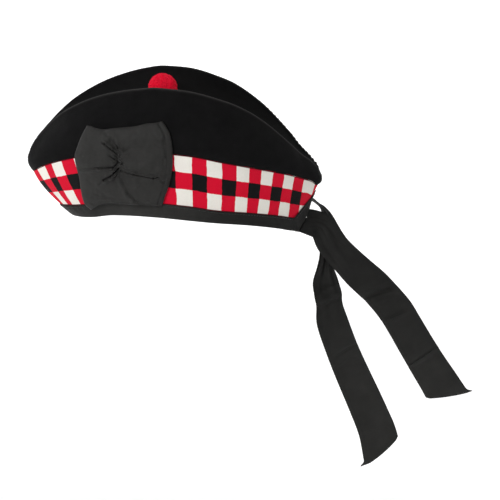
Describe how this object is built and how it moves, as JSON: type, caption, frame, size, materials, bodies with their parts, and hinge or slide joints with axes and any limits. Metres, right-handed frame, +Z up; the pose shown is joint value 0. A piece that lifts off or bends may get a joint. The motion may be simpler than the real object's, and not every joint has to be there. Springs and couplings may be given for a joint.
{
  "type": "glengarry cap",
  "caption": "Dark felt boat-shaped cap with a diced band, bound edge, side cockade, toorie and two ribbon tails; it is worn on the head.",
  "frame": {"origin": "centre of the head opening, at the height of the rim's front and back", "axes": "+Z up through the cap, +Y towards the back and the tails, +X towards the wearer's left and the cockade"},
  "size_m": [0.1564, 0.4187, 0.3591],
  "materials": {
    "black_felt": "soft brushed wool felt",
    "diced_wool": "knitted wool in red, white and black checks",
    "binding_ribbon": "matt ribbed ribbon",
    "red_wool": "cut wool tuft",
    "cockade_ribbon": "satin ribbon, gathered",
    "tail_ribbon": "ribbed ribbon"
  },
  "bodies": {
    "root": {"crown": "black_felt", "diced_band": "diced_wool", "edge_binding": "binding_ribbon", "toorie": "red_wool", "cockade": "cockade_ribbon", "tail_left": "tail_ribbon", "tail_right": "tail_ribbon"}
  },
  "joints": []
}
